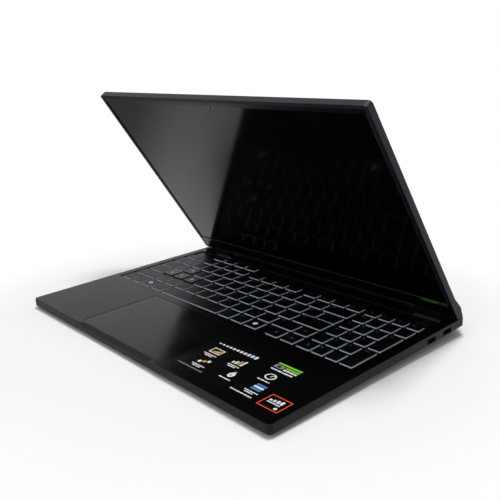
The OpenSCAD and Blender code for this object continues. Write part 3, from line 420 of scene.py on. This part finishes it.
class Sheet:
    """Thin prints on a plane, collected as one mesh with a finish for each face."""

    def __init__(self, finishes, height=PRINT_T):
        self.bm, self.finishes, self.height = bmesh.new(), finishes, height

    def plate(self, outline, finish, z0=0.0, height=None):
        """A closed plate over an outline that runs anticlockwise."""
        top = z0 + (self.height if height is None else height)
        low = [self.bm.verts.new((x, y, z0)) for x, y in outline]
        high = [self.bm.verts.new((x, y, top)) for x, y in outline]
        faces = [self.bm.faces.new(high), self.bm.faces.new(low[::-1])]
        for i in range(len(outline)):
            j = (i + 1) % len(outline)
            faces.append(self.bm.faces.new((low[i], low[j], high[j], high[i])))
        self.ink(faces, finish)

    def ink(self, faces, finish):
        for face in faces:
            face.material_index = self.finishes.index(finish)

    def bar(self, x0, x1, y0, y1, finish, z0=0.0, r=0.0, height=None):
        """A rectangular plate, with round corners where r isn't 0."""
        if not r:
            self.plate([(x0, y0), (x1, y0), (x1, y1), (x0, y1)], finish, z0, height)
            return
        corners = (
            (x1 - r, y1 - r, 0), (x0 + r, y1 - r, 90), (x0 + r, y0 + r, 180), (x1 - r, y0 + r, 270)
        )
        self.plate([
            (cx + r * math.cos(math.radians(a + k)), cy + r * math.sin(math.radians(a + k)))
            for cx, cy, a in corners for k in (0, 30, 60, 90)
        ], finish, z0, height)

    def disc(self, x, y, rx, ry, finish, z0=0.0, sides=20):
        turn = [math.radians(360 * i / sides) for i in range(sides)]
        self.plate([(x + rx * math.cos(t), y + ry * math.sin(t)) for t in turn], finish, z0)

    def hoop(self, x, y, inner, outer, finish, gap=(), step=30):
        """A round ring of short plates, left open at the angles in the gap."""
        for a in range(0, 360, step):
            if a in gap:
                continue
            t, u = math.radians(a), math.radians(a + step)
            self.plate([
                (x + r * math.cos(v), y + r * math.sin(v))
                for r, v in ((inner, t), (outer, t), (outer, u), (inner, u))
            ], finish)

    def border(self, x0, x1, y0, y1, t, finish, z0=0.0):
        """A rectangular border of width t."""
        for box in (
            (x0, x1, y1 - t, y1), (x0, x1, y0, y0 + t),
            (x0, x0 + t, y0 + t, y1 - t), (x1 - t, x1, y0 + t, y1 - t),
        ):
            self.bar(*box, finish, z0)

    def dashes(self, x0, x1, y0, y1, gap, finish, z0, seed):
        """A line of plain dashes of uneven length where small print stands."""
        shortest, longest, last = 1.2, 4.2, 0.8
        rng = np.random.default_rng(seed)
        x = x0
        while x < x1 - last:
            w = min(float(rng.uniform(shortest, longest)), x1 - x)
            self.bar(x, x + w, y0, y1, finish, z0)
            x += w + gap

    def done(self, matrix, name, body):
        mesh = bpy.data.meshes.new(name)
        self.bm.to_mesh(mesh)
        self.bm.free()
        settle(mesh, matrix, name, body, self.finishes)


def repeat_tree():
    """Geometry nodes that set a round-cornered plate on every point of a grid."""
    tree = bpy.data.node_groups.new("repeated_plates", "GeometryNodeTree")
    for name, kind, value in (
        ("Rows", "Int", 1), ("Columns", "Int", 1), ("Row Pitch", "Float", 1),
        ("Column Pitch", "Float", 1), ("Width", "Float", 1), ("Length", "Float", 1),
        ("Height", "Float", 0.2), ("Corner", "Float", 0), ("Stagger", "Float", 0),
        ("Finish", "Material", None),
    ):
        socket = tree.interface.new_socket(name, in_out="INPUT", socket_type="NodeSocket" + kind)
        if value is not None:
            socket.default_value = value
    tree.interface.new_socket("Plates", in_out="OUTPUT", socket_type="NodeSocketGeometry")
    given = {s.name: Wire(tree, s) for s in tree.nodes.new("NodeGroupInput").outputs if s.name}
    rows, columns = given["Rows"], given["Columns"]
    grid = rows.node("GeometryNodeMeshGrid", n0=(columns - 1) * given["Column Pitch"],
                     n1=(rows - 1) * given["Row Pitch"], n2=columns, n3=rows)
    index = rows.node("GeometryNodeInputIndex")
    odd = index.maths("MODULO", index.maths("MODULO", index, rows), 2.0)
    shift = rows.node("ShaderNodeCombineXYZ", X=odd * given["Stagger"] * given["Column Pitch"])
    grid = grid.node("GeometryNodeSetPosition", Geometry=grid, Offset=shift)
    outline = rows.node("GeometryNodeCurvePrimitiveQuadrilateral", n0=given["Width"],
                        n1=given["Length"])
    outline = outline.node("GeometryNodeFilletCurve", {"mode": "POLY"}, Curve=outline, Count=3,
                           Radius=given["Corner"], Limit_Radius=True)
    face = outline.node("GeometryNodeFillCurve", {"mode": "NGONS"}, n0=outline)
    wall = face.node("GeometryNodeExtrudeMesh", Mesh=face, Offset_Scale=given["Height"],
                     Individual=False)
    base = face.node("GeometryNodeFlipFaces", n0=face)
    join = wall.node("GeometryNodeJoinGeometry", n0=wall)
    tree.links.new(base.socket, join.socket.node.inputs[0])
    plate = join.node("GeometryNodeMergeByDistance", Geometry=join, Distance=0.0001)
    many = grid.node("GeometryNodeInstanceOnPoints", Points=grid, Instance=plate)
    many = many.node("GeometryNodeRealizeInstances", n0=many)
    many = many.node("GeometryNodeSetMaterial", Geometry=many, Material=given["Finish"])
    tree.links.new(many.socket, tree.nodes.new("NodeGroupOutput").inputs[0])
    return tree


REPEAT = repeat_tree()


def repeated(name, matrix, body, slot, finish, **sizes):
    """Rows of equal plates in millimetres, made by the tree and left as a plain mesh."""
    holder = placed(name + "_start", bpy.data.meshes.new(name + "_start"))
    modifier = holder.modifiers.new("plates", "NODES")
    modifier.node_group = REPEAT
    sockets = {s.name: s.identifier for s in REPEAT.interface.items_tree if s.in_out == "INPUT"}
    modifier[sockets["Finish"]] = FINISH[finish]
    for key, value in sizes.items():
        modifier[sockets[key.replace("_", " ")]] = value
    made = plain_mesh(holder)
    holder.modifiers.clear()
    bpy.data.objects.remove(holder)
    made.name = name
    made.materials.clear()
    bm = bmesh.new()
    bm.from_mesh(made)
    bmesh.ops.recalc_face_normals(bm, faces=bm.faces)
    for face in bm.faces:
        face.material_index = 0
    bm.to_mesh(made)
    bm.free()
    settle(made, matrix, name, body, [finish])


def at(x, y, z, plane=DECK, turn=0):
    """A plane at a point in millimetres of the deck or lid, turned about its x axis by degrees."""
    moved = plane @ Matrix.Translation((x * MM, y * MM, z * MM))
    return moved @ Matrix.Rotation(math.radians(turn), 4, "X") if turn else moved


# Where the repeated plates lie, in millimetres
INTAKE, INTAKE_LAYER = (111, 192, -11.15), 0.1
SPEAKER = (156, 50, -8.46)
CAMERA_Y, MICROPHONE_X = 233.2, 22
FOOT_RIB_Z, FOOT_RIB_ENDS = -14.9, ((250.75, 90), (259.85, -90))
USB_TONGUES, USB_TONGUE_Z = ((171.5, 197.3), (171.5, 222.0), (-172.0, 166.0)), -4.72
HDMI_TONGUE = (-172, 192, -4.72)
NETWORK_PINS = (-170, 216, -2.66)
USB_C_X, USB_C_Y, USB_C_Z = -172.3, (144.0, 126.0), -4.56


def air_and_sound():
    """Dust meshes behind the slots, microphone holes, and the ribs of the rear foot."""
    for side, word in ((-1, "left"), (1, "right")):
        x, y, z = INTAKE
        # wires along the slots, then wires across them in a layer above
        for n, wires in enumerate((
            {"Rows": 1, "Columns": 36, "Width": 0.35, "Length": 54},
            {"Rows": 36, "Columns": 1, "Width": 58, "Length": 0.35},
        )):
            repeated("intake_mesh_%s_%d" % (word, n), at(side * x, y, z + INTAKE_LAYER * n), "base",
                     "steel", "seal", Row_Pitch=1.55, Column_Pitch=1.6, Height=0.09, **wires)
        x, y, z = SPEAKER
        repeated("speaker_mesh_" + word, at(side * x, y, z), "base", "steel", "seal", Rows=48,
                 Columns=16, Row_Pitch=0.82, Column_Pitch=0.9, Height=0.1, Width=0.62, Length=0.5,
                 Corner=0.2, Stagger=0.5)
        repeated("microphone_hole_" + word, at(side * MICROPHONE_X, CAMERA_Y, 0.0, LID_FACE), "lid",
                 "frame_plastic", "seal", Columns=2, Column_Pitch=2.4, Width=0.7, Length=0.7,
                 Height=0.03, Corner=0.35)
    for y, turn in FOOT_RIB_ENDS:
        repeated("rear_foot_ribs_%d" % y, at(0, y, FOOT_RIB_Z, turn=turn), "base", "foot_rubber",
                 "rubber", Columns=97, Column_Pitch=3.0, Width=1.2, Length=3.6, Height=0.25,
                 Corner=0.4)


def contacts():
    """Gold contacts on the tongues of the sockets; those that face down are turned over."""
    for n, (x, y) in enumerate(USB_TONGUES):
        repeated("usb_contacts_%d" % n, at(x, y, USB_TONGUE_Z, turn=180), "base", "socket_metal",
                 "gold", Rows=4, Row_Pitch=2.2, Width=5.0, Length=1.0, Height=0.06, Corner=0.2)
    repeated("hdmi_contacts", at(*HDMI_TONGUE, turn=180), "base", "socket_metal", "gold",
             Rows=10, Row_Pitch=1.1, Width=4.0, Length=0.45, Height=0.05)
    repeated("network_contacts", at(*NETWORK_PINS, turn=180), "base", "socket_metal", "gold",
             Rows=8, Row_Pitch=1.02, Width=7.0, Length=0.4, Height=0.3)
    for n, y in enumerate(USB_C_Y):
        repeated("usb_c_contacts_%d" % n, at(USB_C_X, y, USB_C_Z), "base", "socket_metal", "gold",
                 Rows=6, Row_Pitch=0.75, Width=3.4, Length=0.35, Height=0.04)


def camera_window():
    """Glass over the camera, its thin ring, and a small light beside it."""
    ring_r, glass_r, light_x, light_r, sunk = 1.7, 0.95, 5.2, 0.45, 0.02
    window = Sheet(["glass", "seal", "grey"])
    window.disc(0, CAMERA_Y, ring_r, ring_r, "seal", -sunk)
    window.disc(0, CAMERA_Y, glass_r, glass_r, "glass", sunk)
    window.disc(light_x, CAMERA_Y, light_r, light_r, "grey", -sunk)
    window.done(LID_FACE, "camera_window", "lid")


# Captions of the feature label as dashes: each line's ends and its foot, of which one is dimmer
CAPTIONS = (
    (57.4, 72.4, 41.4), (60.4, 69.4, 39.2), (87.4, 100.4, 41.4), (89.4, 98.4, 39.2),
    (122.4, 135.4, 40.8), (64.4, 79.4, 22.8), (67, 76.4, 20.6), (98, 111, 22.8),
    (127.4, 141.4, 22.8), (129.4, 139, 20.6), (54.4, 84.2, 16.4), (118.4, 141.4, 16.4),
)
CAPTION_H, DIM_CAPTION = 1.25, 10


def feature_label():
    """Black label on the palm rest: a scale line, six plain pictograms in two rows, a green tab."""
    label = Sheet(["film", "white", "grey", "amber", "green", "blue"])
    label.bar(50, 146, 13.6, 73.4, "film", r=1.5, height=FILM_T)
    z = FILM_T
    # scale line of blocks that grow to the right
    pitch, rise = 4.3, 0.28
    for n in range(11):
        label.bar(54 + pitch * n, 56.6 + pitch * n, 61.4, 63 + rise * n, "white", z)
    # rear row: a window with a slope, rising bars, a dial
    label.border(58.4, 71.2, 45.6, 54.2, 1.0, "white", z)
    label.plate([(60.4, 47.4), (69.2, 47.4), (69.2, 52.2)], "amber", z)
    pitch, rise = 3.1, 1.9
    for n in range(4):
        label.bar(88 + pitch * n, 90 + pitch * n, 45, 48.2 + rise * n, "amber" if n == 2 else "white", z)
    label.disc(129, 49.4, 5.2, 4.6, "white", z)
    label.disc(129, 49.4, 3.9, 3.4, "film", z + OVERPRINT)
    hand = [(128.5, 48.8), (129.5, 48.8), (131.6, 52.2), (130.8, 52.5)]
    label.plate(hand, "white", z + 2 * OVERPRINT)
    # front row, half a step to the right: three steps, a drop, stacked plates
    pitch, rise = 3.6, 2.1
    for n in range(3):
        label.bar(66 + pitch * n, 68.9 + pitch * n, 27 + rise * n, 30.4 + rise * n,
                  "amber" if n == 1 else "white", z)
    drop = [(104.4, 36.6), (101.2, 31.4), (102, 28), (104.4, 26.6), (106.8, 28), (107.6, 31.4)]
    label.plate(drop, "white", z)
    label.disc(104.4, 30, 1.5, 1.5, "amber", z + OVERPRINT)
    pitch = 3.4
    for n, ink in enumerate(("blue", "white", "blue")):
        label.bar(129.4, 139.6, 26.8 + pitch * n, 29.2 + pitch * n, ink, z, r=0.9)
    for n, (x0, x1, y) in enumerate(CAPTIONS):
        ink = "grey" if n == DIM_CAPTION else "white"
        label.dashes(x0, x1, y, y + CAPTION_H, 0.45, ink, z, seed=n + 3)
    # tab of two fields at the rear corner, with two lines of small print
    label.bar(117.6, 142.4, 69.6, 71.9, "green", z)
    label.bar(117.6, 127, 63.4, 68.4, "grey", z)
    label.disc(122.3, 65.9, 1.7, 1.7, "film", z + OVERPRINT)
    label.bar(128.4, 142.4, 66.4, 68.4, "green", z)
    label.dashes(128.4, 142.4, 63.2, 65.2, 0.5, "white", z, seed=42)
    label.dashes(118.4, 142.4, 59.4, 61.2, 0.5, "white", z, seed=44)
    label.done(DECK, "feature_label", "base")


def processor_label():
    """Small black label with an orange border, rising bars, a line and a dot."""
    left, step, border = 152.2, 3.4, 0.95
    label = Sheet(["film", "orange", "white"])
    z = FILM_T
    label.bar(148.6, 169.6, 14.4, 32.6, "film", r=0.6, height=z)
    label.border(148.8, 169.4, 14.6, 32.4, border, "orange", z)
    for n in range(4):
        label.bar(left + step * n, 154.6 + step * n, 24.4, 26.4 + 0.9 * n, "white", z)
    label.bar(left, 164.8, 22, 23.2, "white", z)
    label.disc(164.6, 18.3, 1.5, 1.5, "white", z)
    label.done(DECK, "processor_label", "base")


def chin_work():
    """Two-tone label at the right end of the lid's chin, with a painted highlight along its top, and
    painted highlights of the edges along the chin and between the hinges.
    """
    left, middle, right, foot, shoulder = 145, 162.2, 172.6, 14.6, 18.2
    chin_left, hinge_left, hinge_right = -171, -129, 131
    chin = Sheet(["dim_green", "painted_green_highlight", "dim_grey", "painted_edge_highlight"])
    chin.bar(left, middle, foot, shoulder, "dim_green")
    # painted highlight: pale strips along the label's top stand for light caught by the frame's edge
    chin.bar(left, middle, shoulder, 18.7, "painted_green_highlight")
    chin.bar(middle, right, foot, shoulder, "dim_grey")
    chin.bar(middle, right, shoulder, 18.6, "painted_edge_highlight")
    # painted highlights: pale lines along the chin's top edge and along the lid's lower edge between the
    # hinges
    chin.bar(chin_left, left, 18.4, 18.75, "painted_edge_highlight")
    chin.bar(hinge_left, hinge_right, 1.9, 2.25, "painted_edge_highlight")
    chin.done(LID_FACE, "chin_work", "lid")


# ---- Key legends ---------------------------------------------------------------------------

CHEVRON = [(-1.3, 0), (0.6, -1.7), (1.1, -1.2), (-0.25, 0), (1.1, 1.2), (0.6, 1.7)]
CHEVRON_TURN = {"left": 0, "down": 90, "right": 180, "up": 270}
LEGENDS = {
    "hot_keys": "- + x o",
    "function_keys": "Esc F1 F2 F3 F4 F5 F6 F7 F8 F9 F10 F11 F12 Del Ins Home End",
    "number_keys": "` 1 2 3 4 5 6 7 8 9 0 - = Back",
    "upper_letter_keys": "Tab Q E R T Y U I O P [ ] \\",
    "middle_letter_keys": "Caps F G H J K L ; '",
    "lower_letter_keys": "Shift Z X C V B N M , . / Shift",
    "game_keys": "A S D W",
    "modifier_keys": "Ctrl Fn ring Alt Alt Menu dot",
    "enter_key": "Enter",
    "arrow_keys": "left down right up",
    "pad_keys": "0 . Enter 1 2 3 4 5 6 + 7 8 9 Num / * -",
    "power_button": "power",
}
LETTER, WORD, GAME_LETTER = 3.8, 2.4, 5.6  # type sizes in millimetres
LEGEND_LEFT, LETTER_DROP, WORD_DROP = 1.6, 4.7, 3.6  # from the edges of a cap's top
GAME_LEFT, GAME_DROP = 2.2, 2  # from the middle of a game key
SIGN_R, DOT_R = 1.3, 0.7  # inside of a round sign, and half the width of its dot


def cap_boxes(name):
    """The caps of a group, front row first: each one's low and high corner on the deck."""
    touch, row_depth = 0.05, 4
    mesh = nodes[name].data
    points = np.empty(len(mesh.vertices) * 3)
    mesh.vertices.foreach_get("co", points)
    to_deck = np.array(DECK.inverted())
    points = (points.reshape(-1, 3) @ to_deck[:3, :3].T + to_deck[:3, 3]) / MM
    loops = np.empty(len(mesh.loops), dtype=int)
    mesh.loops.foreach_get("vertex_index", loops)
    faces = points[loops.reshape(-1, 3)]
    boxes = []
    for low, high in zip(faces.min(axis=1), faces.max(axis=1)):
        joined, rest = [low[:2], high[:2]], []
        for box in boxes:
            if (box[0] <= joined[1] + touch).all() and (joined[0] <= box[1] + touch).all():
                joined = [np.minimum(joined[0], box[0]), np.maximum(joined[1], box[1])]
            else:
                rest.append(box)
        boxes = rest + [joined]
    return sorted(boxes, key=lambda box: (round(box[0][1] / row_depth), box[0][0]))


def lettering(text, size):
    """The outline of a word as a flat mesh, from Blender's own letter forms."""
    curve = bpy.data.curves.new("legend", "FONT")
    curve.body, curve.size, curve.extrude, curve.resolution_u = text, size, LETTER_T, 2
    holder = placed("legend", curve)
    made = plain_mesh(holder)
    bpy.data.objects.remove(holder)
    bpy.data.curves.remove(curve)
    return made


def legends(group):
    """All the legends of one group of keys as one mesh."""
    sheet = Sheet(["ink", "bright_ink", "teal"], LEGEND_T)
    game = group == "game_keys"
    for ((x0, y0), (x1, y1)), word in zip(cap_boxes(group), LEGENDS[group].split()):
        cx, cy = (x0 + x1) / 2, (y0 + y1) / 2
        ink = "bright_ink" if game or word in ("ring", "dot") else "ink"
        if word in CHEVRON_TURN:
            turn = Matrix.Rotation(math.radians(CHEVRON_TURN[word]), 2)
            sheet.plate([(cx + v[0], cy + v[1]) for v in (turn @ Vector(p) for p in CHEVRON)], ink)
        elif word == "power":
            sheet.hoop(cx, cy, SIGN_R, SIGN_R + 0.45, "teal", gap=(60, 90))
            sheet.bar(cx - 0.25, cx + 0.25, cy + 0.4, cy + 2.3, "teal")
        elif word in ("ring", "dot"):
            sheet.hoop(cx, cy, SIGN_R, 2.5, ink)
            if word == "dot":
                sheet.bar(cx - DOT_R, cx + DOT_R, cy - DOT_R, cy + DOT_R, ink)
        else:
            long = len(word) > 1
            mesh = lettering(word, GAME_LETTER if game else WORD if long else LETTER)
            corner = (
                (cx - GAME_LEFT, cy - GAME_DROP) if game else
                (x0 + CAP_DRAFT + LEGEND_LEFT, y1 - CAP_DRAFT - (WORD_DROP if long else LETTER_DROP))
            )
            mesh.transform(Matrix.Translation((*corner, OVERPRINT)))
            before = len(sheet.bm.faces)
            sheet.bm.from_mesh(mesh)
            bpy.data.meshes.remove(mesh)
            sheet.bm.faces.ensure_lookup_table()
            sheet.ink(sheet.bm.faces[before:], ink)
    sheet.done(DECK @ Matrix.Translation((0, 0, CAP_TOP * MM)), group + "_legends", group)


feature_label()
processor_label()
chin_work()
camera_window()
air_and_sound()
contacts()
for group in LEGENDS:
    legends(group)


# ---- Studio --------------------------------------------------------------------------------

FLOOR_HALF = 6.0
FLOOR_PALE, WHITE = (0.92, 0.92, 0.92), (1, 1, 1)
TABLE_EDGE = (-0.46, -0.27)  # beyond this x, shiny surfaces mirror a dim surrounding
DIM_LIT, DIM_GLOW = (0.27, 0.28, 0.29), (0.3, 0.31, 0.32)
FLOOR_FADE = (0.225, 0.33)  # distance at which the floor turns into the white backdrop
WORLD_LIGHT = 0.42  # strength of the surroundings as a light; as a background it is 1


def floor():
    """Pale floor that takes the shadow near the computer and is plain white farther off."""
    h = FLOOR_HALF
    mesh = bpy.data.meshes.new("floor")
    mesh.from_pydata([(-h, -h, 0), (h, -h, 0), (h, h, 0), (-h, h, 0)], [], [(0, 1, 2, 3)])
    pale = bpy.data.materials.new("floor_pale")
    pale.use_nodes = True
    tree = pale.node_tree
    start = Wire(tree, None)
    place = start.node("ShaderNodeTexCoord", out="Object")
    far = place.node("ShaderNodeVectorMath", {"operation": "LENGTH"}, out="Value", n0=place)
    seen = start.node("ShaderNodeLightPath", out="Is Camera Ray")
    glossy = start.node("ShaderNodeLightPath", out="Is Glossy Ray")
    dim = glossy * (1 - place.axis("X").over(*TABLE_EDGE))
    lit = start.node("ShaderNodeBsdfDiffuse", Color=dim.mix(FLOOR_PALE, DIM_LIT))
    glow = start.node("ShaderNodeEmission", Color=dim.mix(WHITE, DIM_GLOW), Strength=1.0)
    fade = seen.larger(glossy) * far.over(*FLOOR_FADE)
    shade = start.node("ShaderNodeMixShader", n0=fade, n1=lit, n2=glow)
    tree.links.new(shade.socket, tree.nodes["Material Output"].inputs["Surface"])
    tree.nodes.remove(tree.nodes["Principled BSDF"])
    mesh.materials.append(pale)
    placed("floor", mesh)


def surroundings():
    """Even white all round, at full strength for the camera, mirrors and glass."""
    world = bpy.data.worlds.new("studio")
    bpy.context.scene.world = world
    world.use_nodes = True
    tree = world.node_tree
    start = Wire(tree, None)
    seen, glossy, through = (
        start.node("ShaderNodeLightPath", out="Is %s Ray" % ray)
        for ray in ("Camera", "Glossy", "Transmission")
    )
    plain = seen.larger(glossy).larger(through)
    strength = plain * (1 - WORLD_LIGHT) + WORLD_LIGHT
    tree.links.new(strength.socket, tree.nodes["Background"].inputs["Strength"])
    tree.nodes["Background"].inputs["Color"].default_value = (*WHITE, 1)


def lamp(name, place, aim, size, watts):
    """A square soft lamp of the given width in metres."""
    data = bpy.data.lights.new(name, "AREA")
    data.energy, data.size = watts, size
    holder = placed(name, data)
    holder.location = place
    holder.rotation_euler = (Vector(aim) - Vector(place)).to_track_quat("-Z", "Y").to_euler()


def camera():
    """The camera stands to the right in front, a little above the height of the lid's top."""
    azimuth, elevation, roll = (math.radians(a) for a in (49.15, 15.54, -2.8))
    stand = Matrix.Translation((0.461, -0.2712, 0.246))
    level = math.cos(elevation)
    forward = Vector((-math.sin(azimuth) * level, math.cos(azimuth) * level, -math.sin(elevation)))
    right = forward.cross(Vector((0, 0, 1))).normalized()
    right.rotate(Matrix.Rotation(-roll, 3, forward))
    turn = Matrix((right, right.cross(forward), -forward)).transposed()
    data = bpy.data.cameras.new("camera")
    data.lens, data.sensor_width = 47.55, 36.0
    data.shift_x, data.shift_y = 0.0386, -0.0368
    data.clip_start, data.clip_end = 0.05, 30
    holder = placed("camera", data)
    holder.matrix_world = DECK @ stand @ turn.to_4x4()
    bpy.context.scene.camera = holder


floor()
surroundings()
lamp("key_lamp", (0.14, 0.0, 1.6), (0, 0, 0), size=0.4, watts=15)
lamp("fill_lamp", (0.3, -1.5, 1.1), (0, 0, 0.1), size=1.2, watts=5)
camera()
bpy.context.scene.view_settings.view_transform = "Standard"
